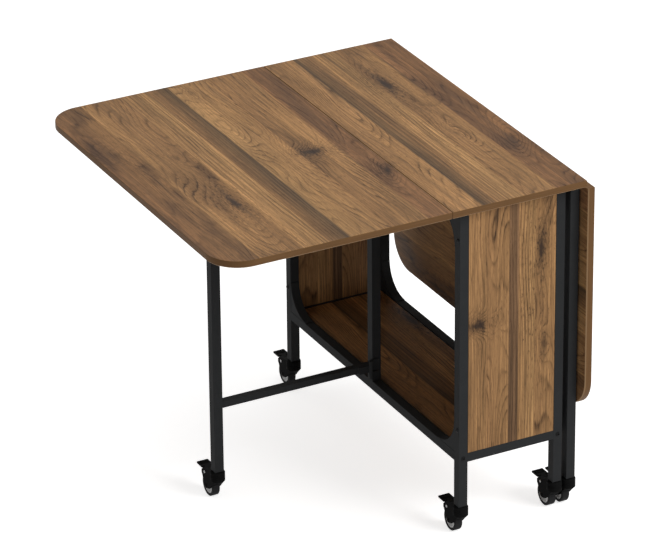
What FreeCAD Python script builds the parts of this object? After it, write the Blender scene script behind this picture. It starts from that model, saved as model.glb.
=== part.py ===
"""Folding drop-leaf table on casters, in millimetres, +Z up.

A narrow console carries a fixed top between two drop leaves. The left leaf is raised on its open
gate leg, the right leaf hangs with its gate folded behind it. X runs across the seams, Y along
them, and the floor is z = 0. Pieces are laid out about the middle of the console; the row's
origin is the middle of the whole table's footprint, so place() adds ORIGIN to every position.
"""
import FreeCAD, Part
import os

import Sketcher
from FreeCAD import Placement, Rotation, Vector

doc = FreeCAD.newDocument("FoldingTable")
sheet = doc.addObject("Spreadsheet::Sheet", "Sizes")


# ---------------------------------------------------------------- sizes that know their cell
class Size:
    """A length with its present value and the spreadsheet expression that gives it."""

    def __init__(self, value, text=None):
        self.value = float(value)
        self.text = text or repr(self.value)

    def joined(self, other, sign, value):
        return Size(value, "(%s %s %s)" % (self.text, sign, other.text))

    def __add__(self, other):
        other = as_size(other)
        return self.joined(other, "+", self.value + other.value)

    def __sub__(self, other):
        other = as_size(other)
        return self.joined(other, "-", self.value - other.value)

    def __mul__(self, other):
        other = as_size(other)
        return self.joined(other, "*", self.value * other.value)

    def __truediv__(self, other):
        other = as_size(other)
        return self.joined(other, "/", self.value / other.value)

    def __neg__(self):
        return Size(0) - self


def as_size(value):
    return value if isinstance(value, Size) else Size(value)


def larger(first, second):
    return Size(max(first.value, second.value), "max(%s; %s)" % (first.text, second.text))


def cell(name, value):
    """Write one driving dimension to the sheet and return it as a Size."""
    cell.row += 1
    sheet.set("A%d" % cell.row, name)
    sheet.set("B%d" % cell.row, str(value))
    sheet.setAlias("B%d" % cell.row, name)
    return Size(value, "Sizes." + name)


cell.row = 0

# boards
table_height = cell("table_height", 742)
top_width = cell("top_width", 300)
top_length = cell("top_length", 800)
leaf_length = cell("leaf_length", 497)
board = cell("board", 15)
leaf_corner = cell("leaf_corner", 70)
top_arris = cell("top_arris", 1)
lower_bevel = cell("lower_bevel", 2)
panel_arris = cell("panel_arris", 0.6)
seam = cell("seam", 1)

# welded frame of square tube
tube = cell("tube", 20)
tube_wall = cell("tube_wall", 1.5)
tube_corner = cell("tube_corner", 0.5)
end_overhang = cell("end_overhang", 28)
rail_height = cell("rail_height", 169)
gusset_reach = cell("gusset_reach", 65)
gusset_lip = cell("gusset_lip", 1.5)
gusset_inset = cell("gusset_inset", 0.5)
end_plate = cell("end_plate", 3)
weld_overlap = cell("weld_overlap", 0.2)

# shelf and panels
shelf_side_gap = cell("shelf_side_gap", 2.5)
shelf_end_gap = cell("shelf_end_gap", 2)
panel_gap = cell("panel_gap", 0.4)
bar_width = cell("bar_width", 20)
bar_thickness = cell("bar_thickness", 4)
bar_spacing = cell("bar_spacing", 460)

# leaf hinges
hinge_length = cell("hinge_length", 60)
hinge_width = cell("hinge_width", 28)
hinge_plate = cell("hinge_plate", 1.5)
hinge_barrel = cell("hinge_barrel", 5.4)
hinge_pin = cell("hinge_pin", 3)
hinge_drop = cell("hinge_drop", 3)
hinge_knuckle = cell("hinge_knuckle", 20)
hinge_gap = cell("hinge_gap", 0.4)
hinge_spacing = cell("hinge_spacing", 250)

# gates
stretcher = cell("stretcher", 15)
stretcher_wall = cell("stretcher_wall", 1.2)
stretcher_corner = cell("stretcher_corner", 0.5)
lower_stretcher_height = cell("lower_stretcher_height", 220)
upper_stretcher_drop = cell("upper_stretcher_drop", 49.5)
pivot_clearance = cell("pivot_clearance", 5.75)
gate_pin = cell("gate_pin", 5)
gate_barrel = cell("gate_barrel", 9)
gate_knuckle = cell("gate_knuckle", 12)
gate_gap = cell("gate_gap", 0.3)
gate_end_gap = cell("gate_end_gap", 0.5)
strap_length = cell("strap_length", 20)
strap = cell("strap", 3)
eye_reach = cell("eye_reach", 26)
leg_gap = cell("leg_gap", 0.3)

# fasteners
running_fit = cell("running_fit", 0.05)
screw_shank = cell("screw_shank", 3.4)
screw_head = cell("screw_head", 6.8)
screw_socket = cell("screw_socket", 2.6)
hinge_screw_length = cell("hinge_screw_length", 12)
screw_bite = cell("screw_bite", 10)
rail_screw_inset = cell("rail_screw_inset", 85)
rail_screw_spacing = cell("rail_screw_spacing", 180)
bolt_shank = cell("bolt_shank", 5)
bolt_head = cell("bolt_head", 9.5)
bolt_head_height = cell("bolt_head_height", 2.8)
bolt_socket = cell("bolt_socket", 4.6)
bolt_bite = cell("bolt_bite", 7)
panel_bolt_bite = cell("panel_bolt_bite", 25)
panel_bolt_rise = cell("panel_bolt_rise", 53)
panel_bolt_drop = cell("panel_bolt_drop", 48)

# casters
caster_height = cell("caster_height", 70)
wheel = cell("wheel", 48)
wheel_width = cell("wheel_width", 16)
tyre_thickness = cell("tyre_thickness", 6)
tyre_shoulder = cell("tyre_shoulder", 0.8)
trail = cell("trail", 30)
axle = cell("axle", 6)
axle_boss = cell("axle_boss", 12.4)
cheek = cell("cheek", 3)
cheek_gap = cell("cheek_gap", 1)
tyre_gap = cell("tyre_gap", 2.5)
drum = cell("drum", 30.8)
drum_height = cell("drum_height", 22)
drum_gap = cell("drum_gap", 1.5)
drum_groove = cell("drum_groove", 0.8)
stem = cell("stem", 8)
stem_length = cell("stem_length", 15)
race = cell("race", 18)
brake_pin = cell("brake_pin", 3)
brake_eye = cell("brake_eye", 6)
brake_arm_width = cell("brake_arm_width", 10)
brake_gap = cell("brake_gap", 0.3)
pedal_width = cell("pedal_width", 25.5)
pedal_length = cell("pedal_length", 23.5)
pedal_thickness = cell("pedal_thickness", 3)
pedal_corner = cell("pedal_corner", 1.5)

# ---------------------------------------------------------------- places worked out from them
UNDERSIDE = table_height - board
FRAME_HALF_WIDTH = top_width / 2 - pivot_clearance * 2 - tube
FRAME_HALF_LENGTH = top_length / 2 - end_overhang
POST_X = FRAME_HALF_WIDTH - tube / 2
POST_Y = FRAME_HALF_LENGTH - tube / 2
INNER_X = FRAME_HALF_WIDTH - tube
INNER_Y = FRAME_HALF_LENGTH - tube
RAIL_TOP = rail_height + tube
TOP_RAIL_BOTTOM = UNDERSIDE - tube
PIVOT_X = FRAME_HALF_WIDTH + pivot_clearance
PIVOT_Y = -(tube / 2 + pivot_clearance)
GATE_RADIUS = POST_Y + PIVOT_Y
GATE_OFFSET = -PIVOT_Y
LEAF_PIN_X = top_width / 2 + seam / 2
LEAF_PIN_Z = UNDERSIDE - hinge_drop
WHEEL_RADIUS = wheel / 2
DRUM_TOP = caster_height - drum_gap
DRUM_BOTTOM = DRUM_TOP - drum_height
PEDAL_START = trail + 17
PEDAL_END = PEDAL_START + pedal_length
BRAKE_Y = trail + 6
BRAKE_Z = WHEEL_RADIUS + 28
PEDAL_BOTTOM = BRAKE_Z + 4.5
ORIGIN_X = (top_width / 2 + seam + leaf_length - (LEAF_PIN_X + hinge_drop + board)) / 2
ORIGIN_Y = (top_length / 2 - larger(top_length / 2, POST_Y + PEDAL_END)) / 2

X_WARD = Rotation(Vector(0, 1, 0), 90)
Y_WARD = Rotation(Vector(1, 0, 0), -90)
UPRIGHT = Rotation()


# ---------------------------------------------------------------- document helpers
def bind(thing, **sizes):
    for name, size in sizes.items():
        thing.setExpression(name, as_size(size).text)


def place(thing, x, y, z, turn=UPRIGHT, about_origin=True):
    """Bind a position in console coordinates. Pieces of a group stay in the group's own frame."""
    shift = (ORIGIN_X, ORIGIN_Y) if about_origin else (Size(0), Size(0))
    thing.Placement = Placement(Vector(), turn)
    for letter, position in zip("xyz", (as_size(x) + shift[0], as_size(y) + shift[1], as_size(z))):
        thing.setExpression("Placement.Base." + letter, position.text)
    return thing


def new_body(label):
    body = doc.addObject("PartDesign::Body", label)
    body.Label = label
    return body


def new_sketch(body, plane, offset=0):
    sketch = body.newObject("Sketcher::SketchObject", body.Name + "Sketch")
    support = [item for item in body.Origin.OriginFeatures if item.Role == plane][0]
    sketch.AttachmentSupport = (support, [""])
    sketch.MapMode = "FlatFace"
    sketch.setExpression("AttachmentOffset.Base.z", as_size(offset).text)
    return sketch


def fix(sketch, kind, geometry, position, size):
    index = sketch.addConstraint(Sketcher.Constraint(kind, geometry, position, size.value))
    sketch.setExpression("Constraints[%d]" % index, size.text)


def draw_polygon(sketch, points):
    """Draw a closed outline whose every corner is held by two driven distances."""
    first = sketch.GeometryCount
    points = [(as_size(x), as_size(y)) for x, y in points]
    ends = [Vector(x.value, y.value, 0) for x, y in points]
    for start, end in zip(ends, ends[1:] + ends[:1]):
        sketch.addGeometry(Part.LineSegment(start, end), False)
    for number, (x, y) in enumerate(points):
        following = first + (number + 1) % len(points)
        sketch.addConstraint(Sketcher.Constraint("Coincident", first + number, 2, following, 1))
        fix(sketch, "DistanceX", first + number, 1, x)
        fix(sketch, "DistanceY", first + number, 1, y)


def draw_rectangle(sketch, left, right, low, high):
    draw_polygon(sketch, [(left, low), (right, low), (right, high), (left, high)])


def draw_circle(sketch, x, y, radius):
    x, y, radius = as_size(x), as_size(y), as_size(radius)
    shape = Part.Circle(Vector(x.value, y.value, 0), Vector(0, 0, 1), radius.value)
    index = sketch.addGeometry(shape, False)
    fix(sketch, "DistanceX", index, 3, x)
    fix(sketch, "DistanceY", index, 3, y)
    constraint = sketch.addConstraint(Sketcher.Constraint("Radius", index, radius.value))
    sketch.setExpression("Constraints[%d]" % constraint, radius.text)


def extrude(body, sketch, length, kind="PartDesign::Pad", centred=False, backwards=False):
    feature = body.newObject(kind, body.Name + kind.split("::")[1])
    feature.Profile = sketch
    bind(feature, Length=length)
    if centred:
        feature.SideType = "Symmetric"
    feature.Reversed = backwards
    body.Tip = feature
    doc.recompute()
    return feature


def revolve(body, sketch, axis):
    feature = body.newObject("PartDesign::Revolution", body.Name + "Revolution")
    feature.Profile = sketch
    feature.ReferenceAxis = (sketch, [axis])
    feature.Angle = 360
    body.Tip = feature
    doc.recompute()
    return feature


def dress(body, kind, size, wanted):
    """Fillet or chamfer the edges of the body's tip for which wanted(edge) is true."""
    base = body.Tip
    names = ["Edge%d" % (n + 1) for n, edge in enumerate(base.Shape.Edges) if wanted(edge)]
    feature = body.newObject("PartDesign::" + kind, body.Name + kind)
    feature.Base = (base, names)
    bind(feature, **{"Radius" if kind == "Fillet" else "Size": size})
    body.Tip = feature
    doc.recompute()
    return feature


def runs_along(edge, axis, tolerance=1e-6):
    """True for a straight edge parallel to an axis, given as 0, 1 or 2."""
    if not isinstance(edge.Curve, (Part.Line, Part.LineSegment)):
        return False
    ends = [vertex.Point for vertex in edge.Vertexes]
    return all(abs(ends[0][k] - ends[1][k]) < tolerance for k in range(3) if k != axis)


def lies_at(edge, axis, position, tolerance=1e-4):
    box = edge.BoundBox
    low = (box.XMin, box.YMin, box.ZMin)[axis]
    high = (box.XMax, box.YMax, box.ZMax)[axis]
    return abs(low - position) < tolerance and abs(high - position) < tolerance


def box(x, y, z, width, length, height, about_origin=False):
    """A block centred on x and y, standing on z."""
    block = doc.addObject("Part::Box", "Block")
    bind(block, Length=width, Width=length, Height=height)
    x, y, z = as_size(x), as_size(y), as_size(z)
    return place(block, x - as_size(width) / 2, y - as_size(length) / 2, z, UPRIGHT, about_origin)


def rod(x, y, z, radius, length, turn=UPRIGHT, about_origin=False):
    cylinder = doc.addObject("Part::Cylinder", "Rod")
    bind(cylinder, Radius=radius, Height=length)
    return place(cylinder, x, y, z, turn, about_origin)


def fuse(label, pieces):
    union = doc.addObject("Part::MultiFuse", label)
    union.Shapes = pieces
    union.Label = label
    return union


def group(label, pieces):
    compound = doc.addObject("Part::Compound", label)
    compound.Links = pieces
    compound.Label = label
    return compound


def cut(label, base, tools):
    result = doc.addObject("Part::Cut", label)
    result.Base = base
    result.Tool = tools[0] if len(tools) == 1 else group(label + "Tools", tools)
    result.Label = label
    return result


nodes = []


def node(piece):
    """Register a finished piece. Its Label names its file."""
    nodes.append(piece)
    return piece


# ---------------------------------------------------------------- fasteners and their holes
def wood_screw(x, y, z, length, about_origin=True, turn=UPRIGHT):
    """Countersunk screw pointing along its own +Z, its head flush at the given point."""
    head = doc.addObject("Part::Cone", "Head")
    bind(head, Radius1=screw_head / 2, Radius2=screw_shank / 2, Height=hinge_plate)
    shank = rod(0, 0, 0, screw_shank / 2, length)
    socket = doc.addObject("Part::Prism", "Socket")
    socket.Polygon = 6
    bind(socket, Circumradius=screw_socket / 2, Height=hinge_plate * 0.7)
    return place(cut("WoodScrew", fuse("ScrewBlank", [head, shank]), [socket]), x, y, z, turn, about_origin)


def screw_hole(x, y, z, length, about_origin=True, turn=UPRIGHT):
    sink = doc.addObject("Part::Cone", "Sink")
    bind(sink, Radius1=screw_head / 2 + running_fit, Radius2=screw_shank / 2 + running_fit, Height=hinge_plate)
    bore = rod(0, 0, 0, screw_shank / 2 + running_fit, as_size(length) + running_fit)
    return place(fuse("ScrewHole", [sink, bore]), x, y, z, turn, about_origin)


def bolt(x, y, z, grip, turn):
    """Button-head bolt pointing along its own +Z, its head seated at the given point."""
    head = doc.addObject("Part::Cone", "BoltHead")
    bind(head, Radius1=bolt_head * 0.32, Radius2=bolt_head / 2, Height=bolt_head_height)
    place(head, 0, 0, -bolt_head_height, UPRIGHT, False)
    shank = rod(0, 0, -weld_overlap, bolt_shank / 2, as_size(grip) + weld_overlap)
    socket = doc.addObject("Part::Prism", "BoltSocket")
    socket.Polygon = 6
    bind(socket, Circumradius=bolt_socket / 2, Height=bolt_head_height * 0.7)
    place(socket, 0, 0, -bolt_head_height, UPRIGHT, False)
    return place(cut("Bolt", fuse("BoltBlank", [head, shank]), [socket]), x, y, z, turn)


def bolt_hole(x, y, z, grip, turn):
    bore = rod(0, 0, 0, bolt_shank / 2 + running_fit, as_size(grip) + running_fit)
    return place(bore, x, y, z, turn)


TURN_TO = {(1, 0): X_WARD, (-1, 0): Rotation(Vector(0, 1, 0), -90),
           (0, 1): Y_WARD, (0, -1): Rotation(Vector(1, 0, 0), 90)}


def frame_bolt_spots(side, end):
    """Bolts of one corner post: two into its side rails, two into its end panel."""
    x, y = POST_X * side, POST_Y * end
    into_rail = tube + end_plate + bolt_bite
    into_panel = tube + panel_gap + panel_bolt_bite
    panel_y = (FRAME_HALF_LENGTH - board / 2) * end
    spots = []
    for height in (rail_height + tube / 2, UNDERSIDE - tube / 2):
        spots.append((x, FRAME_HALF_LENGTH * end, height, into_rail, TURN_TO[(0, -end)]))
    for height in (RAIL_TOP + panel_bolt_rise, TOP_RAIL_BOTTOM - panel_bolt_drop):
        spots.append((FRAME_HALF_WIDTH * side, panel_y, height, into_panel, TURN_TO[(-side, 0)]))
    return spots


CORNERS = [(side, end) for side in (-1, 1) for end in (-1, 1)]
SIDE_NAME = {-1: "left", 1: "right"}
END_NAME = {-1: "front", 1: "back"}


def shelf_screw_spots():
    into = bar_thickness + screw_bite
    base = rail_height + weld_overlap * 5
    return [(INNER_X * 0.6 * side, bar_spacing / 2 * end, base, into) for side, end in CORNERS]


def top_screw_spots(side):
    """Screws up through one top rail into the fixed top."""
    return [(POST_X * side, along * end, TOP_RAIL_BOTTOM, tube + screw_bite)
            for along in (INNER_Y - rail_screw_inset, rail_screw_spacing / 2) for end in (-1, 1)]


# ---------------------------------------------------------------- boards
def board_body(label, left, right, half_length, arris, bevel, corner_at=None):
    """A board lying on z = 0, its top arris rounded and its lower one bevelled."""
    body = new_body(label)
    sketch = new_sketch(body, "XY_Plane")
    draw_rectangle(sketch, left, right, -half_length, half_length)
    extrude(body, sketch, board)
    if corner_at is not None:
        dress(body, "Fillet", leaf_corner,
              lambda edge: runs_along(edge, 2) and lies_at(edge, 0, as_size(corner_at).value))
    dress(body, "Fillet", arris, lambda edge: lies_at(edge, 2, board.value))
    dress(body, "Chamfer", bevel, lambda edge: lies_at(edge, 2, 0))
    return body


def make_fixed_top():
    body = board_body("FixedTopBoard", -top_width / 2, top_width / 2, top_length / 2, top_arris, lower_bevel)
    place(body, 0, 0, UNDERSIDE)
    holes = [screw_hole(*spot) for side in (-1, 1) for spot in top_screw_spots(side)]
    holes += [screw_hole(*spot) for side in (-1, 1) for spot in hinge_screw_spots(side)]
    node(cut("fixed_top", body, holes))


def make_shelf():
    half_width = INNER_X - shelf_side_gap
    half_length = INNER_Y - shelf_end_gap
    body = board_body("ShelfBoard", -half_width, half_width, half_length, panel_arris, panel_arris)
    place(body, 0, 0, RAIL_TOP - board)
    node(cut("shelf", body, [screw_hole(*spot) for spot in shelf_screw_spots()]))


def make_end_panel(end):
    """End panel standing on the end rail, its outer face flush with the posts."""
    label = END_NAME[end] + "_panel"
    half_width = INNER_X - panel_gap
    half_height = (UNDERSIDE - RAIL_TOP) / 2
    body = board_body(label + "_board", -half_width, half_width, half_height, panel_arris, panel_arris)
    turn = Rotation(Vector(1, 0, 0), -90 * end)
    place(body, 0, (FRAME_HALF_LENGTH - board) * end, RAIL_TOP + half_height, turn)
    holes = [bolt_hole(*spot) for side in (-1, 1) for spot in frame_bolt_spots(side, end)[2:]]
    node(cut(label, body, holes))


# ---------------------------------------------------------------- frame
def tube_body(label, size, wall, corner, length):
    """A square tube standing on z = 0, centred on its axis."""
    body = new_body(label)
    outer = new_sketch(body, "XY_Plane")
    draw_rectangle(outer, -size / 2, size / 2, -size / 2, size / 2)
    extrude(body, outer, length)
    dress(body, "Fillet", corner, lambda edge: runs_along(edge, 2))
    bore = new_sketch(body, "XY_Plane")
    inner = size / 2 - wall
    draw_rectangle(bore, -inner, inner, -inner, inner)
    extrude(body, bore, length, "PartDesign::Pocket", backwards=True)
    return body


def plug(z, size, wall):
    """A plate welded across the inside of a tube, standing on z in the tube's frame."""
    inner = size - wall * 2 + weld_overlap
    return box(0, 0, z, inner, inner, end_plate)


def leg_tube(label, height, capped):
    """A post or gate leg on the floor side of its tube: a bored foot plate and, if asked, a cap."""
    pieces = [tube_body(label + "_tube", tube, tube_wall, tube_corner, height), plug(0, tube, tube_wall)]
    if capped:
        pieces.append(plug(height - end_plate, tube, tube_wall))
    return cut(label, fuse(label + "_blank", pieces), [rod(0, 0, -1, stem / 2 + running_fit, end_plate * 2)])


def make_post(side, end):
    label = "post_%s_%s" % (END_NAME[end], SIDE_NAME[side])
    leg = leg_tube(label + "_leg", UNDERSIDE - caster_height, False)
    place(leg, POST_X * side, POST_Y * end, caster_height)
    node(cut(label, leg, [bolt_hole(*spot) for spot in frame_bolt_spots(side, end)]))


def make_side_rail(side, level):
    """Bottom or top rail between two posts, with an end plate for each bolt."""
    height = {"bottom": rail_height, "top": TOP_RAIL_BOTTOM}[level] + tube / 2
    label = "%s_rail_%s" % (level, SIDE_NAME[side])
    length = INNER_Y * 2
    pieces = [tube_body(label + "_tube", tube, tube_wall, tube_corner, length),
              plug(0, tube, tube_wall), plug(length - end_plate, tube, tube_wall)]
    rail = place(fuse(label + "_blank", pieces), POST_X * side, -INNER_Y, height, Y_WARD)
    row = {"bottom": 0, "top": 1}[level]
    holes = [bolt_hole(*frame_bolt_spots(side, end)[row]) for end in (-1, 1)]
    if level == "top":
        holes += [screw_hole(*spot) for spot in top_screw_spots(side)]
    node(cut(label, rail, holes))


def make_end_rail(end):
    label = "end_rail_" + END_NAME[end]
    rail = tube_body(label, tube, tube_wall, tube_corner, INNER_X * 2)
    node(place(rail, -INNER_X, POST_Y * end, rail_height + tube / 2, X_WARD))


def gusset_body(label):
    """Curved corner web, its square corner on the origin, reaching along +Y and +Z."""
    body = new_body(label)
    sketch = new_sketch(body, "YZ_Plane")
    reach = gusset_reach + gusset_lip
    draw_polygon(sketch, [
        (0, 0), (reach, 0), (reach, gusset_lip), (reach, reach), (gusset_lip, reach), (0, reach)])
    extrude(body, sketch, tube - gusset_inset * 2, centred=True)
    hollow = new_sketch(body, "YZ_Plane")
    draw_circle(hollow, reach, reach, gusset_reach)
    extrude(body, hollow, tube, "PartDesign::Pocket", centred=True)
    return body


def make_gussets(side):
    corners = []
    spots = ((0, -1, RAIL_TOP), (1, 1, RAIL_TOP), (2, 1, TOP_RAIL_BOTTOM), (3, -1, TOP_RAIL_BOTTOM))
    for turns, end, height in spots:
        turn = Rotation(Vector(1, 0, 0), 90 * turns)
        corners.append(place(gusset_body("Gusset"), POST_X * side, INNER_Y * end, height, turn))
    node(group("gussets_" + SIDE_NAME[side], corners))


def make_shelf_bars():
    low = RAIL_TOP - board - bar_thickness
    bars = [box(0, bar_spacing / 2 * end, low, INNER_X * 2, bar_width, bar_thickness, True) for end in (-1, 1)]
    holes = [screw_hole(*spot) for spot in shelf_screw_spots()]
    node(cut("shelf_bars", group("ShelfBarBlanks", bars), holes))


def stretcher_heights():
    return (lower_stretcher_height, UNDERSIDE - upper_stretcher_drop)


def make_mid_post(side):
    """Mid post with the welded straps, barrels and pins that carry the gate."""
    label = "mid_post_" + SIDE_NAME[side]
    post = tube_body(label + "_tube", tube, tube_wall, tube_corner, TOP_RAIL_BOTTOM - RAIL_TOP)
    pieces = [place(post, POST_X * side, 0, RAIL_TOP)]
    strap_y = -(tube / 2 + strap / 2) + weld_overlap / 2
    strap_x = (PIVOT_X - strap_length / 2) * side
    for height in stretcher_heights():
        low = height - stretcher / 2 - gate_gap - gate_knuckle
        high = height + stretcher / 2 + gate_gap
        for base in (low, high):
            pieces.append(box(strap_x, strap_y, base, strap_length, strap + weld_overlap, gate_knuckle, True))
            pieces.append(rod(PIVOT_X * side, PIVOT_Y, base, gate_barrel / 2, gate_knuckle, UPRIGHT, True))
        pieces.append(rod(PIVOT_X * side, PIVOT_Y, low, gate_pin / 2, high + gate_knuckle - low, UPRIGHT, True))
    node(fuse(label, pieces))


# ---------------------------------------------------------------- leaf hinges
def hinge_half(knuckle_spans, clear_spans, bore):
    """One hinge half about its pin (along Y): a plate toward +X and knuckles over the given spans."""
    plate_low = hinge_drop - hinge_plate
    plate = box(hinge_width / 2, 0, plate_low, hinge_width, hinge_length, hinge_plate)
    notch_depth = hinge_barrel / 2 + hinge_gap
    notches = [box(notch_depth / 2, (low + high) / 2, plate_low - 1, notch_depth, high - low, hinge_plate + 2)
               for low, high in clear_spans]
    trimmed = cut("HingePlate", plate, notches)
    barrels = [rod(0, low, 0, hinge_barrel / 2, high - low, Y_WARD) for low, high in knuckle_spans]
    solid = fuse("HingeHalf", [trimmed] + barrels + [hinge_web(low, high) for low, high in knuckle_spans])
    through = rod(0, -hinge_length / 2 - 1, 0, bore, hinge_length + 2, Y_WARD)
    return cut("HingeHalfBored", solid, [through])


def hinge_web(low, high):
    """The part of the plate that rolls over onto a knuckle."""
    return box(hinge_barrel / 4, (low + high) / 2, hinge_barrel / 4, hinge_barrel / 2, high - low,
               hinge_drop - hinge_barrel / 4)


OUTER = hinge_length / 2
MIDDLE = hinge_knuckle / 2


def fixed_hinge():
    half = hinge_half([(-OUTER, -MIDDLE), (MIDDLE, OUTER)], [(-MIDDLE, MIDDLE)], hinge_pin / 2 - weld_overlap)
    pin = rod(0, -OUTER, 0, hinge_pin / 2, hinge_length, Y_WARD)
    return fuse("FixedHinge", [half, pin])


def moving_hinge():
    inner = MIDDLE - hinge_gap
    edge = OUTER + 1
    return hinge_half([(-inner, inner)], [(-edge, -inner), (inner, edge)], hinge_pin / 2 + running_fit)


HINGE_ROWS = (-1, 0, 1)
PLATE_SCREWS = ((0.38, -0.33), (0.38, 0.33), (0.75, 0))


def hinge_screw_spots(side):
    """Screws of one side's fixed hinge halves, up into the fixed top."""
    spots = []
    for row in HINGE_ROWS:
        for along, across in PLATE_SCREWS:
            x = (LEAF_PIN_X - hinge_width * along) * side
            y = hinge_spacing * row + hinge_length * across
            spots.append((x, y, UNDERSIDE - hinge_plate, hinge_screw_length))
    return spots


def leaf_screw_spots(side):
    """The same screws for a leaf, in the leaf's own frame."""
    spots = []
    for row in HINGE_ROWS:
        for along, across in PLATE_SCREWS:
            x = (hinge_width * along - seam / 2) * side
            y = hinge_spacing * row + hinge_length * across
            spots.append((x, y, -hinge_plate, hinge_screw_length, False))
    return spots


def make_fixed_hinges(side):
    turn = Rotation(Vector(0, 0, 1), 0 if side < 0 else 180)
    halves = [place(fixed_hinge(), LEAF_PIN_X * side, hinge_spacing * row, LEAF_PIN_Z, turn)
              for row in HINGE_ROWS]
    holes = [screw_hole(*spot) for spot in hinge_screw_spots(side)]
    node(cut("leaf_hinges_fixed_" + SIDE_NAME[side], group("FixedHalves", halves), holes))


def place_in_leaf(thing, side):
    """Lay a piece of a leaf's own frame in the table: raised on the left, hanging on the right."""
    if side < 0:
        return place(thing, -(top_width / 2 + seam), 0, UNDERSIDE)
    return place(thing, LEAF_PIN_X + hinge_drop, 0, LEAF_PIN_Z - seam / 2, Rotation(Vector(0, 1, 0), 90))


def make_leaf(side):
    """A leaf and what is screwed to it. Its frame has the seam's lower arris on the Y axis."""
    name = SIDE_NAME[side]
    outer_edge = leaf_length * side
    left, right = (outer_edge, Size(0)) if side < 0 else (Size(0), outer_edge)
    body = board_body(name + "_leaf_board", left, right, top_length / 2, top_arris, lower_bevel, outer_edge)
    holes = [screw_hole(*spot) for spot in leaf_screw_spots(side)]
    node(place_in_leaf(cut(name + "_leaf", body, holes), side))
    turn = Rotation(Vector(0, 0, 1), 180 if side < 0 else 0)
    halves = [place(moving_hinge(), -(seam / 2) * side, hinge_spacing * row, -hinge_drop, turn, False)
              for row in HINGE_ROWS]
    plate_holes = [screw_hole(*spot) for spot in leaf_screw_spots(side)]
    hinges = cut("leaf_hinges_moving_" + name, group("MovingHalves", halves), plate_holes)
    node(place_in_leaf(hinges, side))
    screws = group(name + "_leaf_screws", [wood_screw(*spot) for spot in leaf_screw_spots(side)])
    node(place_in_leaf(screws, side))


# ---------------------------------------------------------------- gates
def place_in_gate(thing, side):
    """Lay a piece of a gate's frame in the table: open on the left, folded on the right."""
    return place(thing, PIVOT_X * side, PIVOT_Y, 0, Rotation(Vector(0, 0, 1), 0 if side < 0 else -90))


def make_gate(side):
    """A gate's leg and two stretchers, built square to the frame about the pivot axis."""
    name = SIDE_NAME[side]
    leg_height = UNDERSIDE - leg_gap - caster_height
    leg = place(leg_tube("upright_" + name, leg_height, True), GATE_RADIUS * side, GATE_OFFSET, caster_height,
                UPRIGHT, False)
    node(place_in_gate(group("gate_leg_" + name, [leg]), side))
    reach_in = pivot_clearance - gate_end_gap
    length = GATE_RADIUS - tube / 2 + reach_in
    start = -reach_in if side > 0 else -(GATE_RADIUS - tube / 2)
    arm_width = GATE_OFFSET - stretcher / 2 - gate_barrel / 2 + 1 + weld_overlap
    arm_y = GATE_OFFSET - stretcher / 2 + weld_overlap - arm_width / 2
    for height, level in zip(stretcher_heights(), ("lower", "upper")):
        label = "gate_%s_stretcher_%s" % (level, name)
        bar = tube_body(label + "_tube", stretcher, stretcher_wall, stretcher_corner, length)
        place(bar, start, GATE_OFFSET, height, X_WARD, False)
        base = height - stretcher / 2
        arm = box(eye_reach / 2 * side, arm_y, base, eye_reach, arm_width, stretcher)
        barrel = rod(0, 0, base, gate_barrel / 2, stretcher)
        bore = rod(0, 0, base - 1, gate_pin / 2 + running_fit, stretcher + 2)
        node(place_in_gate(cut(label, fuse(label + "_blank", [bar, arm, barrel]), [bore]), side))


# ---------------------------------------------------------------- casters
def fork_blank(label):
    """Drum, race and stem turned about the swivel axis, with the cheeks and boss below."""
    body = new_body(label)
    profile = new_sketch(body, "XZ_Plane")
    radius = drum / 2
    ridge = drum_height / 5
    draw_polygon(profile, [
        (0, DRUM_BOTTOM), (radius - drum_groove * 2, DRUM_BOTTOM), (radius, DRUM_BOTTOM + drum_groove * 2),
        (radius, DRUM_BOTTOM + ridge * 2), (radius - drum_groove, DRUM_BOTTOM + ridge * 2 + drum_groove),
        (radius, DRUM_BOTTOM + ridge * 2 + drum_groove * 2),
        (radius, DRUM_BOTTOM + ridge * 3), (radius - drum_groove, DRUM_BOTTOM + ridge * 3 + drum_groove),
        (radius, DRUM_BOTTOM + ridge * 3 + drum_groove * 2),
        (radius, DRUM_TOP - drum_groove * 3), (radius - drum_groove * 3, DRUM_TOP),
        (race / 2, DRUM_TOP), (race / 2, caster_height - gate_gap), (stem / 2, caster_height - gate_gap),
        (stem / 2, caster_height + stem_length), (0, caster_height + stem_length)])
    revolve(body, profile, "V_Axis")
    cheeks = new_sketch(body, "YZ_Plane")
    front, back = radius * 0.65, radius * 0.8
    boss = axle_boss / 2
    draw_polygon(cheeks, [
        (-front, DRUM_BOTTOM + 1.5), (trail - boss * 3.9, WHEEL_RADIUS + boss * 1.26),
        (trail - boss * 3.3, WHEEL_RADIUS + boss * 0.47), (trail - boss * 2.3, WHEEL_RADIUS - boss * 0.35),
        (trail - boss * 0.5, WHEEL_RADIUS - boss * 0.85), (trail + boss * 0.7, WHEEL_RADIUS - boss * 0.7),
        (trail + boss * 1.3, WHEEL_RADIUS + boss * 0.26), (trail + 15, WHEEL_RADIUS + 14.4),
        (trail + 16.7, WHEEL_RADIUS + 18), (trail + 19.5, WHEEL_RADIUS + 21), (trail + 19.5, PEDAL_BOTTOM - 3.5),
        (trail + 16.3, PEDAL_BOTTOM - 1.5), (trail + 13.5, PEDAL_BOTTOM + 3), (back, DRUM_TOP - 3),
        (-front, DRUM_TOP - 3)])
    extrude(body, cheeks, wheel_width + (cheek_gap + cheek) * 2, centred=True)
    boss_sketch = new_sketch(body, "YZ_Plane")
    draw_circle(boss_sketch, trail, WHEEL_RADIUS, boss)
    extrude(body, boss_sketch, wheel_width + (cheek_gap + cheek) * 2, centred=True)
    return body


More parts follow.
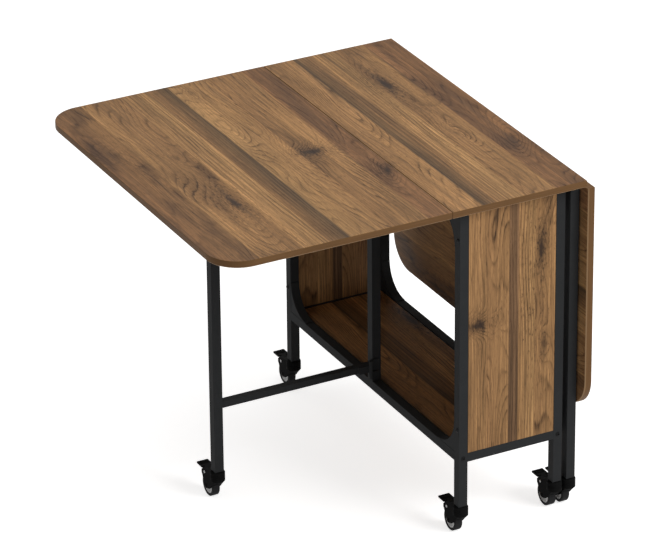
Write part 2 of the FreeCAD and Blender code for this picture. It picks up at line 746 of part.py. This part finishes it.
def make_fork(label, x, y):
    """Fork with the slots for wheel and brake, then its riveted axle and brake pin."""
    slot_width = wheel_width + cheek_gap * 2
    fork_width = slot_width + cheek * 2
    slot = rod(-slot_width / 2, trail, WHEEL_RADIUS, WHEEL_RADIUS + tyre_gap, slot_width, X_WARD)
    notch_width = brake_arm_width + brake_gap * 2
    notch = box(0, BRAKE_Y + 6, WHEEL_RADIUS + 15.5, notch_width, 22, 30)
    slotted = cut(label + "_slotted", fork_blank(label + "_body"), [slot, notch])
    rivets = [rod(-fork_width / 2 - 1, trail, WHEEL_RADIUS, axle / 2, fork_width + 2, X_WARD),
              rod(-fork_width / 2 + 0.5, BRAKE_Y, BRAKE_Z, brake_pin / 2, fork_width - 1, X_WARD)]
    node(place(fuse(label, [slotted] + rivets), x, y, 0))


def make_tyre(label, x, y):
    body = new_body(label)
    sketch = new_sketch(body, "XZ_Plane")
    half, inner = wheel_width / 2, WHEEL_RADIUS - tyre_thickness
    shoulder = WHEEL_RADIUS - tyre_shoulder
    draw_polygon(sketch, [(-half, inner), (half, inner), (half, shoulder), (half - tyre_shoulder, WHEEL_RADIUS),
                          (-half + tyre_shoulder, WHEEL_RADIUS), (-half, shoulder)])
    revolve(body, sketch, "H_Axis")
    node(place(body, x, y + trail, WHEEL_RADIUS))


def make_hub(label, x, y):
    body = new_body(label)
    sketch = new_sketch(body, "XZ_Plane")
    rim = WHEEL_RADIUS - tyre_thickness - running_fit
    lip, web, boss = wheel_width / 2 - 1, wheel_width * 0.2, wheel_width / 2 + cheek_gap - 0.3
    bore, collar = axle / 2 + running_fit, axle
    draw_polygon(sketch, [
        (-boss, bore), (boss, bore), (boss, collar), (web, collar + 1), (web, rim - 4), (lip, rim - 2.5),
        (lip, rim), (-lip, rim), (-lip, rim - 2.5), (-web, rim - 4), (-web, collar + 1), (-boss, collar)])
    revolve(body, sketch, "H_Axis")
    node(place(body, x, y + trail, WHEEL_RADIUS))


def make_brake(label, x, y):
    """Foot brake: an eye on its pin, a shoe toward the tyre and a flat pedal behind."""
    pedal_z = PEDAL_BOTTOM
    arm = new_body(label + "_arm")
    sketch = new_sketch(arm, "YZ_Plane")
    eye = brake_eye / 2
    draw_polygon(sketch, [
        (BRAKE_Y - eye * 0.6, BRAKE_Z - eye * 0.8), (trail + 10, WHEEL_RADIUS + 24.5),
        (trail + 17.5, WHEEL_RADIUS + 20.5), (trail + 20.5, WHEEL_RADIUS + 20), (trail + 19.5, WHEEL_RADIUS + 24),
        (trail + 16, WHEEL_RADIUS + 30.5), (PEDAL_START + 6, pedal_z),
        (PEDAL_START + 6, pedal_z + pedal_thickness), (BRAKE_Y, pedal_z + pedal_thickness),
        (BRAKE_Y - eye * 0.8, BRAKE_Z + eye * 0.6)])
    extrude(arm, sketch, brake_arm_width, centred=True)
    half = brake_arm_width / 2
    ring = rod(-half, BRAKE_Y, BRAKE_Z, eye, brake_arm_width, X_WARD)
    plate = new_body(label + "_plate")
    outline = new_sketch(plate, "XY_Plane", pedal_z)
    draw_rectangle(outline, -pedal_width / 2, pedal_width / 2, PEDAL_START, PEDAL_END)
    extrude(plate, outline, pedal_thickness)
    dress(plate, "Fillet", pedal_corner, lambda edge: runs_along(edge, 2) and lies_at(edge, 1, PEDAL_END.value))
    tread_z = pedal_z + pedal_thickness - 0.2
    treads = [box(0, PEDAL_END - 5 - 4 * n, tread_z, pedal_width - 6, 1.4, 1) for n in range(3)]
    blank = fuse(label + "_blank", [arm, ring, plate] + treads)
    bore = rod(-half - 1, BRAKE_Y, BRAKE_Z, brake_pin / 2 + running_fit, brake_arm_width + 2, X_WARD)
    node(place(cut(label, blank, [bore]), x, y, 0))


def make_caster(name, x, y):
    x, y = as_size(x), as_size(y)
    make_fork("caster_fork_" + name, x, y)
    make_tyre("caster_tyre_" + name, x, y)
    make_hub("caster_hub_" + name, x, y)
    make_brake("caster_brake_" + name, x, y)


# ---------------------------------------------------------------- assembly
make_fixed_top()
make_shelf()
for end in (-1, 1):
    make_end_panel(end)
    make_end_rail(end)
for side, end in CORNERS:
    make_post(side, end)
for side in (-1, 1):
    make_side_rail(side, "bottom")
    make_side_rail(side, "top")
    make_gussets(side)
    make_mid_post(side)
    make_fixed_hinges(side)
make_shelf_bars()
node(group("frame_bolts", [bolt(*spot) for side, end in CORNERS for spot in frame_bolt_spots(side, end)]))
node(group("console_screws", [wood_screw(*spot) for spot in shelf_screw_spots()]
           + [wood_screw(*spot) for side in (-1, 1) for spot in top_screw_spots(side) + hinge_screw_spots(side)]))
for side in (-1, 1):
    make_leaf(side)
    make_gate(side)
for side, end in CORNERS:
    make_caster("%s_%s" % (END_NAME[end], SIDE_NAME[side]), POST_X * side, POST_Y * end)
make_caster("gate_left", -(PIVOT_X + GATE_RADIUS), PIVOT_Y + GATE_OFFSET)
make_caster("gate_right", PIVOT_X + GATE_OFFSET, PIVOT_Y - GATE_RADIUS)

# ---------------------------------------------------------------- checks and files
doc.recompute()
for item in doc.Objects:
    if "Invalid" in item.State or "Error" in item.State:
        raise RuntimeError("%s failed: %s" % (item.Label, item.State))
os.makedirs("parts", exist_ok=True)
for piece in nodes:
    if piece.Shape.isNull() or not piece.Shape.isValid():
        raise RuntimeError("%s has no valid shape" % piece.Label)
for piece in nodes:
    piece.Shape.exportStep("parts/%s.step" % piece.Label)
    print("%-34s %2d solid(s) %12.1f mm3" % (piece.Label, len(piece.Shape.Solids), piece.Shape.Volume))
print(len(nodes), "nodes")
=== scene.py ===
"""Looks of the folding drop-leaf table: printed walnut boards, dark painted tube, black casters.

Everything is in metres in the CAD frame: +X across the seams, +Y along them, +Z up.
"""
import math

import bmesh
import bpy
from mathutils import Matrix, Vector


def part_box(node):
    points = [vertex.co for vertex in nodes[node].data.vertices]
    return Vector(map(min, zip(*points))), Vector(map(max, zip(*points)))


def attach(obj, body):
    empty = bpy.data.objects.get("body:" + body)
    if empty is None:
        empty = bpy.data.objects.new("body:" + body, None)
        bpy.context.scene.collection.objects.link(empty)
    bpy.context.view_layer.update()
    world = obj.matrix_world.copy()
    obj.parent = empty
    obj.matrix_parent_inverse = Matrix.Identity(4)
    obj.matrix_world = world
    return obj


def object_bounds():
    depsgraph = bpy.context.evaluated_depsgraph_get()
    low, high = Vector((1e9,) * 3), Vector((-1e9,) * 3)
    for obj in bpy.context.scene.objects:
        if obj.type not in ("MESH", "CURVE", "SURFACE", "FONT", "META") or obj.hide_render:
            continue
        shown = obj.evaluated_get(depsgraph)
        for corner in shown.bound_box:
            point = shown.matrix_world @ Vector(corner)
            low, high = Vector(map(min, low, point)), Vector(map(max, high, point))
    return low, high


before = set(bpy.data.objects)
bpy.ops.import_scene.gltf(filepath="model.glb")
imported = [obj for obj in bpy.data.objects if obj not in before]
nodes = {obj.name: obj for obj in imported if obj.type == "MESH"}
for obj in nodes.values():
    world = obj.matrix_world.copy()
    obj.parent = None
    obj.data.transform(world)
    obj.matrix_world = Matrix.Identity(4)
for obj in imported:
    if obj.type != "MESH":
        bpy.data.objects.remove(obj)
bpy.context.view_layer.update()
MM = 0.001

# ---------------------------------------------------------------- where things are
top_low, top_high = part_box("fixed_top")
CENTRE_X = (top_low.x + top_high.x) / 2
CENTRE_Y = (top_low.y + top_high.y) / 2
CASTERS = ("front_left", "back_left", "front_right", "back_right", "gate_left", "gate_right")


def linear(shade):
    """An sRGB colour written 0 to 255, as scene-linear values with full alpha."""
    steps = [value / 255 for value in shade]
    return [step / 12.92 if step <= 0.04045 else ((step + 0.055) / 1.055) ** 2.4 for step in steps] + [1.0]


# ---------------------------------------------------------------- shader arithmetic
# Places of these outputs on the texture coordinate node.
NORMAL_OUTPUT = 1
OBJECT_OUTPUT = 3


class Graph:
    """A material whose nodes are written as calls. An input is a socket or a number."""

    def __init__(self, name):
        self.material = bpy.data.materials.new(name)
        self.material.use_nodes = True
        self.tree = self.material.node_tree
        self.shader = self.tree.nodes["Principled BSDF"]

    def node(self, kind, inputs=(), output=0, **settings):
        new = self.tree.nodes.new("ShaderNode" + kind)
        for name, value in settings.items():
            setattr(new, name, value)
        for key, value in (inputs.items() if isinstance(inputs, dict) else enumerate(inputs)):
            self.put(new.inputs[key], value)
        return new.outputs[output]

    def put(self, socket, value):
        if isinstance(value, bpy.types.NodeSocket):
            self.tree.links.new(value, socket)
        else:
            socket.default_value = value

    def math(self, operation, *inputs):
        return self.node("Math", inputs, operation=operation)

    def add(self, *terms):
        total = terms[0]
        for term in terms[1:]:
            total = self.math("ADD", total, term)
        return total

    def times(self, *terms):
        total = terms[0]
        for term in terms[1:]:
            total = self.math("MULTIPLY", total, term)
        return total

    def remap(self, value, low, high, to_low, to_high, smooth=True):
        kind = "SMOOTHSTEP" if smooth else "LINEAR"
        return self.node("MapRange", (value, low, high, to_low, to_high), interpolation_type=kind)

    def join(self, *parts):
        return self.node("CombineXYZ", parts)

    def noise(self, where, detail=2.0, roughness=0.5):
        inputs = {"Vector": where, "Scale": 1.0, "Detail": detail, "Roughness": roughness}
        return self.node("TexNoise", inputs)

    def mix(self, share, first, second, blend="MIX"):
        new = self.tree.nodes.new("ShaderNodeMix")
        new.data_type = "RGBA"
        new.blend_type = blend
        for socket, value in ((new.inputs[0], share), (new.inputs[6], first), (new.inputs[7], second)):
            self.put(socket, value)
        return new.outputs[2]

    def ramp(self, value, stops, kind="LINEAR"):
        """Colour ramp from a list of (position, colour)."""
        new = self.tree.nodes.new("ShaderNodeValToRGB")
        self.put(new.inputs[0], value)
        ramp = new.color_ramp
        ramp.interpolation = kind
        while len(ramp.elements) > 1:
            ramp.elements.remove(ramp.elements[0])
        ramp.elements[0].position = stops[0][0]
        ramp.elements[0].color = stops[0][1]
        for position, colour in stops[1:]:
            ramp.elements.new(position).color = colour
        return new.outputs[0]

    def bump(self, height, strength, distance):
        inputs = {"Strength": strength, "Distance": distance, "Height": height}
        self.put(self.shader.inputs["Normal"], self.node("Bump", inputs))

    def position(self):
        """The three object coordinates, in metres about the middle of the fixed top at the floor."""
        place = self.node("TexCoord", output=OBJECT_OUTPUT)
        moved = self.node("VectorMath", (place, (CENTRE_X, CENTRE_Y, 0.0)), operation="SUBTRACT")
        parts = self.tree.nodes.new("ShaderNodeSeparateXYZ")
        self.put(parts.inputs[0], moved)
        return parts.outputs

    def facing(self):
        """The three components of the surface direction, in the object's own frame."""
        parts = self.tree.nodes.new("ShaderNodeSeparateXYZ")
        self.put(parts.inputs[0], self.node("TexCoord", output=NORMAL_OUTPUT))
        return parts.outputs


# ---------------------------------------------------------------- printed walnut
LIGHT = linear((179, 138, 92))
HONEY = linear((173, 131, 87))
MIDDLE = linear((156, 117, 78))
REDDISH = linear((139, 101, 69))
DUSKY = linear((123, 93, 66))
ASHEN = linear((95, 76, 55))
DEEP = linear((52, 35, 24))
CLOUD = linear((76, 55, 41))
KNOT = linear((44, 34, 29))
EDGE = linear((112, 81, 50))
ARRIS = linear((168, 136, 102))

# All in mm: where the first plank of each print starts, and how far two of the prints are moved.
TOP_START = -660
PANEL_START = -120
SHELF_SHIFT = -60
HANGING_SHIFT = -875
# Each plank: its far side in mm, tone at its near side, tone at its far side, how wavy, how cloudy.
TOP_PLANKS = (
    (-569, REDDISH, MIDDLE, 0.80, 1.0),
    (-478, HONEY, MIDDLE, 0.50, 0.55),
    (-422, HONEY, LIGHT, 0.04, 0.10),
    (-373, MIDDLE, ASHEN, 0.03, 0.30),
    (-286, LIGHT, HONEY, 0.95, 0.15),
    (-203, MIDDLE, HONEY, 0.35, 0.30),
    (-151, REDDISH, REDDISH, 0.30, 0.75),
    (-87, MIDDLE, HONEY, 0.75, 0.15),
    (-46, ASHEN, MIDDLE, 0.04, 0.35),
    (7, HONEY, LIGHT, 0.04, 0.10),
    (80, MIDDLE, HONEY, 0.55, 0.45),
    (660, REDDISH, MIDDLE, 0.75, 0.95),
)
# Each knot: across and along in mm, its half width and half length, lean, how dark, how ringed.
TOP_KNOTS = (
    (-254, -22, 26, 15, 0.3, 1.0, 5.0),
    (-500, -158, 12, 55, 0.0, 1.0, 4.0),
    (26, 196, 12, 55, 0.0, 1.0, 4.0),
    (-612, 150, 16, 40, 0.2, 0.40, 5.0),
    (-166, -168, 12, 30, -0.3, 0.85, 4.0),
    (118, -160, 16, 36, -0.3, 0.45, 5.0),
    (-510, 82, 7, 20, 0.1, 0.40, 3.0),
    (36, -82, 7, 20, 0.1, 0.40, 3.0),
    (-340, 352, 5, 14, 0.0, 0.40, 3.5),
)
PANEL_PLANKS = (
    (-58, MIDDLE, HONEY, 0.30, 0.25),
    (-7, MIDDLE, HONEY, 0.85, 0.15),
    (14, DUSKY, DUSKY, 0.04, 0.35),
    (52, HONEY, LIGHT, 0.05, 0.10),
    (110, HONEY, HONEY, 0.60, 0.60),
)
PANEL_KNOTS = (
    (-80, 467, 22, 11, 0.2, 1.0, 5.0),
    (65, 605, 11, 52, 0.0, 1.0, 4.0),
    (72, 392, 7, 18, 0.1, 0.45, 3.0),
    (-34, 470, 3, 14, -0.3, 0.35, 1.5),
)
# How strongly the dark parts of the print are laid on, and the most that they may cover.
LINE_INK = 0.80
MOST_INK = 0.92
CLOUD_INK = 0.72
MOST_CLOUD = 0.85
MOST_SHADOW = 0.90


def wood(name, across, along, thick, start, planks, knots, shift=0.0, flip=1, upper=1):
    """Printed board: planks side by side across, grain along, banded edges and a pale lower arris.

    across, along and thick are 0, 1 or 2 for X, Y or Z. shift, in mm, moves the print across, and flip of
    -1 turns it round. upper is the sign of the show face along thick.
    """
    g = Graph(name)
    spot = g.position()
    u = g.math("MULTIPLY_ADD", spot[across], flip, shift * MM)
    v = spot[along]
    w = spot[thick]
    low, high = start * MM, planks[-1][0] * MM
    place = g.remap(u, low, high, 0.0, 1.0, smooth=False)
    tones, traits = [], []
    near = start
    for number, (far, first, last, waves, clouding) in enumerate(planks):
        begin, end = [(mark - start) / (planks[-1][0] - start) for mark in (near, far)]
        tones += [(begin + 0.0004, first), (end - 0.0004, last)]
        traits.append((begin, (waves, clouding, (number * 0.37 + 0.11) % 1.0, 1.0)))
        near = far
    tone = g.ramp(place, tones)
    traits_colour = g.ramp(place, traits, "CONSTANT")
    trait = g.tree.nodes.new("ShaderNodeSeparateColor")
    g.put(trait.inputs[0], traits_colour)
    wavy, cloudy, seed = trait.outputs
    slide = g.times(seed, 31.0)

    def streaks(across_scale, along_scale, detail=2.0, roughness=0.55):
        """Noise drawn out along the grain, different in each plank."""
        along_part = g.math("MULTIPLY_ADD", v, along_scale, slide)
        return g.noise(g.join(g.times(u, across_scale), along_part, slide), detail, roughness)

    def centred(value):
        return g.math("SUBTRACT", value, 0.5)

    def grey(shade):
        return (shade, shade, shade, 1.0)

    broad = streaks(14.0, 2.9, 0.0)
    swirl = streaks(38.0, 6.5, 0.0)
    medium = streaks(190.0, 2.4, 2.5, 0.6)
    fine = streaks(640.0, 8.0, 2.0, 0.6)
    fibre = streaks(1500.0, 30.0, 1.0, 0.5)
    pores = streaks(900.0, 60.0, 1.0, 0.5)
    speck = streaks(230.0, 90.0, 3.0, 0.7)
    drift = g.math("MULTIPLY_ADD", v, 4.2, slide)
    smoke = g.noise(g.join(g.times(u, 26.0), drift, g.times(seed, 7.0)), 3.5, 0.62)

    calm = g.math("SUBTRACT", 1.0, wavy)
    rings = g.add(g.times(u, g.add(22.0, g.times(calm, 110.0))),
                  g.times(centred(broad), g.add(3.0, g.times(wavy, 19.0))),
                  g.times(centred(swirl), g.add(0.4, g.times(wavy, 1.6))), g.times(centred(medium), 0.40))
    shadow = halo = 0.0
    for ku, kv, ru, rv, lean, depth, turns in knots:
        along_knot = g.math("SUBTRACT", v, kv * MM)
        across_knot = g.math("MULTIPLY_ADD", along_knot, lean, g.math("SUBTRACT", u, ku * MM))
        du, dv = g.times(across_knot, 1 / (ru * MM)), g.times(along_knot, 1 / (rv * MM))
        far = g.add(g.times(du, du), g.times(dv, dv))
        ragged = g.times(far, g.remap(speck, 0.32, 0.68, 3.2, 0.25), g.remap(smoke, 0.35, 0.65, 1.5, 0.6))
        shadow = g.add(shadow, g.times(g.math("EXPONENT", g.times(ragged, -0.9)), depth))
        halo = g.add(halo, g.times(g.math("EXPONENT", g.times(ragged, -0.13)), depth))
        rings = g.add(rings, g.times(g.math("EXPONENT", g.times(far, -0.22)), turns))
    saw = g.math("FRACT", rings)
    stops = ((0.0, 0.0), (0.30, 0.04), (0.66, 0.28), (0.86, 1.0), (1.0, 0.0))
    line = g.ramp(saw, [(spot_on_ring, grey(ink)) for spot_on_ring, ink in stops])
    line = g.times(line, g.remap(fine, 0.30, 0.65, 0.30, 1.0), g.remap(smoke, 0.32, 0.68, 0.25, 1.25),
                   g.remap(swirl, 0.25, 0.75, 0.45, 1.25))
    clouds = g.times(g.remap(smoke, 0.44, 0.66, 0.0, 1.0), cloudy, g.remap(medium, 0.3, 0.7, 0.45, 1.2))
    clouds = g.add(clouds, g.times(halo, g.remap(medium, 0.42, 0.62, 0.1, 0.8)))
    medium_low, medium_high = g.add(0.54, g.times(wavy, 0.22)), g.add(1.38, g.times(wavy, -0.16))
    medium_level = g.remap(medium, 0.22, 0.78, medium_low, medium_high)
    fine_low, fine_high = g.add(0.66, g.times(wavy, 0.10)), g.add(1.32, g.times(wavy, -0.08))
    fine_level = g.remap(fine, 0.25, 0.75, fine_low, fine_high)
    level = g.times(g.remap(fibre, 0.25, 0.75, 0.90, 1.10), medium_level, fine_level,
                    g.remap(broad, 0.2, 0.8, 0.84, 1.15))
    face = g.mix(1.0, tone, g.join(level, level, level), "MULTIPLY")
    face = g.mix(g.math("MINIMUM", g.times(clouds, CLOUD_INK), MOST_CLOUD), face, CLOUD)
    ink = g.math("MINIMUM", g.add(g.times(line, LINE_INK), g.remap(pores, 0.56, 0.70, 0.0, 0.35)), MOST_INK)
    face = g.mix(ink, face, DEEP)
    face = g.mix(g.math("MINIMUM", shadow, MOST_SHADOW), face, KNOT)

    band = g.noise(g.join(g.times(w, 420.0), g.times(g.add(u, v), 9.0), 3.0), 2.0, 0.6)
    edge_level = g.remap(band, 0.25, 0.75, 0.86, 1.12)
    edge = g.mix(1.0, EDGE, g.join(edge_level, edge_level, edge_level), "MULTIPLY")
    toward = g.times(g.facing()[thick], upper)
    flat = g.math("ABSOLUTE", toward)
    colour = g.mix(g.remap(flat, 0.35, 0.8, 1.0, 0.0), face, edge)
    pale = g.times(g.remap(toward, -0.45, -0.6, 0.0, 1.0), g.remap(toward, -0.82, -0.95, 1.0, 0.0))
    colour = g.mix(pale, colour, ARRIS)
    g.put(g.shader.inputs["Base Color"], colour)
    g.put(g.shader.inputs["Roughness"], g.remap(medium, 0.2, 0.8, 0.48, 0.60))
    g.shader.inputs["Specular IOR Level"].default_value = 0.12
    g.bump(g.add(g.times(fibre, 0.5), g.times(pores, -0.5), g.times(line, -0.4)), 0.10, 0.0003)
    return g.material


# ---------------------------------------------------------------- paint, steel and plastic
# Scale of the cloudiness per metre, then strength and depth in metres of the surface grain.
CLOUD_SCALE = 30.0
COAT_BUMP = 0.25
COAT_BUMP_DEPTH = 0.00015


def coated(name, shade, roughness, grain=900.0, spread=0.06, metallic=0.0, specular=0.5):
    """A plain finish with a fine surface grain and a slight cloudiness."""
    g = Graph(name)
    spot = g.node("TexCoord", output=OBJECT_OUTPUT)
    fine = g.noise(g.node("VectorMath", (spot, (grain,) * 3), operation="MULTIPLY"), 2.0, 0.5)
    cloud = g.noise(g.node("VectorMath", (spot, (CLOUD_SCALE,) * 3), operation="MULTIPLY"), 3.0, 0.55)
    level = g.times(g.remap(cloud, 0.2, 0.8, 1 - spread, 1 + spread),
                    g.remap(fine, 0.3, 0.7, 1 - spread, 1 + spread))
    g.put(g.shader.inputs["Base Color"], g.mix(1.0, linear(shade), g.join(level, level, level), "MULTIPLY"))
    g.put(g.shader.inputs["Roughness"], g.remap(cloud, 0.2, 0.8, roughness - 0.05, roughness + 0.05))
    g.shader.inputs["Metallic"].default_value = metallic
    g.shader.inputs["Specular IOR Level"].default_value = specular
    g.bump(fine, COAT_BUMP, COAT_BUMP_DEPTH)
    return g.material


def wear(node_name, material):
    """Give a CAD node one material."""
    slots = nodes[node_name].data.materials
    slots.clear()
    slots.append(material)


top_wood = wood("walnut_top", 0, 1, 2, TOP_START, TOP_PLANKS, TOP_KNOTS)
shelf_wood = wood("walnut_shelf", 0, 1, 2, TOP_START, TOP_PLANKS, TOP_KNOTS, shift=SHELF_SHIFT)
hanging_wood = wood("walnut_hanging", 2, 1, 0, TOP_START, TOP_PLANKS, TOP_KNOTS, shift=HANGING_SHIFT)
front_wood = wood("walnut_front", 0, 2, 1, PANEL_START, PANEL_PLANKS, PANEL_KNOTS, upper=-1)
back_wood = wood("walnut_back", 0, 2, 1, PANEL_START, PANEL_PLANKS, PANEL_KNOTS, flip=-1)
paint = coated("paint_dark_grey", (50, 51, 52), 0.55, specular=0.03)
bolt_black = coated("bolt_black", (26, 26, 27), 0.40, grain=1500.0, specular=0.12)
zinc = coated("zinc_plate", (150, 150, 152), 0.38, grain=1200.0, metallic=1.0)
housing = coated("housing_black", (25, 25, 25), 0.45, grain=1400.0, specular=0.005)
pedal_black = coated("pedal_black", (12, 12, 11), 0.50, grain=1400.0, specular=0.02)
tread = coated("tread_dark", (46, 46, 47), 0.60, grain=700.0, specular=0.03)
hub_pale = coated("hub_pale", (228, 228, 228), 0.35, grain=1400.0, spread=0.02)
rivet_steel = coated("rivet_steel", (225, 225, 225), 0.25, grain=1400.0, spread=0.02)

for name in ("fixed_top", "left_leaf"):
    wear(name, top_wood)
wear("shelf", shelf_wood)
wear("right_leaf", hanging_wood)
wear("front_panel", front_wood)
wear("back_panel", back_wood)
PAINTED = ("post_", "mid_post_", "bottom_rail_", "top_rail_", "end_rail_", "gussets_", "shelf_bars", "gate_")
for name in nodes:
    if name.startswith(PAINTED):
        wear(name, paint)
    elif "hinges" in name or "screws" in name:
        wear(name, zinc)
wear("frame_bolts", bolt_black)
for name in CASTERS:
    wear("caster_fork_" + name, housing)
    wear("caster_brake_" + name, pedal_black)
    wear("caster_tyre_" + name, tread)
    wear("caster_hub_" + name, hub_pale)

# ---------------------------------------------------------------- rivet heads at the brake pins
# All in mm. The profile gives radius and height over the cheek, from the foot of the head upward.
RIVET_PROFILE = ((2.9, -0.2), (2.9, 0.5), (2.3, 1.0), (1.3, 1.3))
RIVET_TIP = 1.4
RIVET_SIDES = 24
CHEEK_FACE = 12.0
PIN_BEHIND_AXLE = 6.0
PIN_ABOVE_AXLE = 28.0


def rivet_heads(name, middle):
    """Two low domed heads on the cheeks, at the ends of a pin that lies along X."""
    shape = bmesh.new()
    turns = [2 * math.pi * step / RIVET_SIDES for step in range(RIVET_SIDES)]

    def corner(side, height, radius=0.0, turn=0.0):
        offset = Vector((side * (CHEEK_FACE + height), radius * math.cos(turn), radius * math.sin(turn)))
        return shape.verts.new(middle + MM * offset)

    for side in (-1, 1):
        rings = [[corner(side, height, radius, turn) for turn in turns] for radius, height in RIVET_PROFILE]
        tip = corner(side, RIVET_TIP)
        shape.faces.new(rings[0])
        for number in range(RIVET_SIDES):
            after = (number + 1) % RIVET_SIDES
            for inner, outer in zip(rings, rings[1:]):
                shape.faces.new((inner[number], inner[after], outer[after], outer[number]))
            shape.faces.new((rings[-1][number], rings[-1][after], tip))
    bmesh.ops.recalc_face_normals(shape, faces=shape.faces)
    mesh = bpy.data.meshes.new(name)
    shape.to_mesh(mesh)
    shape.free()
    for polygon in mesh.polygons:
        polygon.use_smooth = len(polygon.vertices) < RIVET_SIDES
    mesh.materials.append(rivet_steel)
    piece = bpy.data.objects.new(name, mesh)
    bpy.context.scene.collection.objects.link(piece)
    return piece


for name in CASTERS:
    tyre_low, tyre_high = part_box("caster_tyre_" + name)
    pin = (tyre_low + tyre_high) / 2 + MM * Vector((0.0, PIN_BEHIND_AXLE, PIN_ABOVE_AXLE))
    heads = rivet_heads("brake_rivets_" + name, pin)
    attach(heads, "swivel_" + name)

# ---------------------------------------------------------------- floor, light and camera
floor_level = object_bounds()[0][2]


def stage_sheet(name, corners, shade, glow):
    """A flat stage piece, lifted toward white so that it meets the background, and clear from its back."""
    mesh = bpy.data.meshes.new(name)
    mesh.from_pydata(corners, [], [tuple(range(len(corners)))])
    sheet = bpy.data.objects.new(name, mesh)
    bpy.context.scene.collection.objects.link(sheet)
    g = Graph(name)
    g.shader.inputs["Base Color"].default_value = linear(shade)
    g.shader.inputs["Roughness"].default_value = 0.9
    g.shader.inputs["Specular IOR Level"].default_value = 0.0
    g.shader.inputs["Emission Color"].default_value = (1.0, 1.0, 1.0, 1.0)
    rays = g.tree.nodes.new("ShaderNodeLightPath").outputs
    seen_by = g.math("MAXIMUM", g.math("MAXIMUM", rays["Is Camera Ray"], rays["Is Glossy Ray"]),
                     rays["Is Transmission Ray"])
    g.put(g.shader.inputs["Emission Strength"], g.times(seen_by, glow))
    facing_away = g.tree.nodes.new("ShaderNodeNewGeometry").outputs["Backfacing"]
    g.put(g.shader.inputs["Alpha"], g.math("SUBTRACT", 1.0, facing_away))
    mesh.materials.append(g.material)


# Half side in metres, own colour, and how far a camera sees it lifted toward white.
FLOOR_HALF = 30.0
FLOOR_SHADE = (244, 244, 244)
FLOOR_GLOW = 0.70
FLOOR_CORNERS = [(x * FLOOR_HALF, y * FLOOR_HALF, floor_level) for x, y in ((-1, -1), (1, -1), (1, 1), (-1, 1))]
stage_sheet("floor", FLOOR_CORNERS, FLOOR_SHADE, FLOOR_GLOW)

# The world is white where it is seen or mirrored, and dimmer as a light.
SEEN_STRENGTH = 1.0
LIT_STRENGTH = 0.30

world = bpy.data.worlds.new("studio")
bpy.context.scene.world = world
world.use_nodes = True
tree = world.node_tree
tree.nodes.clear()
path = tree.nodes.new("ShaderNodeLightPath")
seen = tree.nodes.new("ShaderNodeBackground")
seen.inputs["Color"].default_value = (1.0, 1.0, 1.0, 1.0)
seen.inputs["Strength"].default_value = SEEN_STRENGTH
lit = tree.nodes.new("ShaderNodeBackground")
lit.inputs["Color"].default_value = (1.0, 0.995, 0.985, 1.0)
lit.inputs["Strength"].default_value = LIT_STRENGTH
chooser = tree.nodes.new("ShaderNodeMixShader")
output = tree.nodes.new("ShaderNodeOutputWorld")
seen_by = path.outputs["Is Camera Ray"]
for other in ("Is Glossy Ray", "Is Transmission Ray"):
    larger = tree.nodes.new("ShaderNodeMath")
    larger.operation = "MAXIMUM"
    tree.links.new(seen_by, larger.inputs[0])
    tree.links.new(path.outputs[other], larger.inputs[1])
    seen_by = larger.outputs[0]
tree.links.new(seen_by, chooser.inputs[0])
tree.links.new(lit.outputs[0], chooser.inputs[1])
tree.links.new(seen.outputs[0], chooser.inputs[2])
tree.links.new(chooser.outputs[0], output.inputs["Surface"])


def aim(thing, spot, target):
    """Put a lamp or camera at a spot with its -Z axis on the target."""
    thing.location = spot
    thing.rotation_euler = (Vector(target) - Vector(spot)).to_track_quat("-Z", "Y").to_euler()


def soft_lamp(name, spot, target, size, power):
    """A square area lamp: its side in metres and its power in watts."""
    data = bpy.data.lights.new(name, "AREA")
    data.shape = "SQUARE"
    data.size = size
    data.energy = power
    lamp = bpy.data.objects.new(name, data)
    bpy.context.scene.collection.objects.link(lamp)
    aim(lamp, spot, target)


MIDST = (0.0, 0.0, 0.45)
soft_lamp("key", (2.2, -3.6, 3.4), MIDST, size=2.6, power=125)
soft_lamp("overhead", (0.2, 0.4, 4.2), MIDST, size=3.0, power=36)

FOCAL_PX = 4675.2
IMAGE_WIDTH_PX = 650
SENSOR_MM = 36.0
CLIP_END = 200.0
camera_data = bpy.data.cameras.new("camera")
camera_data.sensor_width = SENSOR_MM
camera_data.sensor_fit = "HORIZONTAL"
camera_data.lens = FOCAL_PX / IMAGE_WIDTH_PX * SENSOR_MM
camera_data.clip_end = CLIP_END
camera = bpy.data.objects.new("camera", camera_data)
bpy.context.scene.collection.objects.link(camera)
bpy.context.scene.camera = camera
AZIMUTH, ELEVATION, ROLL = (math.radians(angle) for angle in (-27.5547, 26.2444, -0.5465))
DISTANCE = 9.41579
AIM_LEFT_OF_TOP = 0.22029
AIM_HEIGHT = 0.45032
aim_point = Vector((CENTRE_X - AIM_LEFT_OF_TOP, CENTRE_Y, AIM_HEIGHT))
outward = Vector((math.sin(AZIMUTH) * math.cos(ELEVATION), -math.cos(AZIMUTH) * math.cos(ELEVATION),
                  math.sin(ELEVATION)))
aim(camera, aim_point + outward * DISTANCE, aim_point)
camera.rotation_euler = (camera.rotation_euler.to_matrix() @ Matrix.Rotation(ROLL, 3, "Z")).to_euler()
bpy.context.scene.view_settings.view_transform = "Standard"
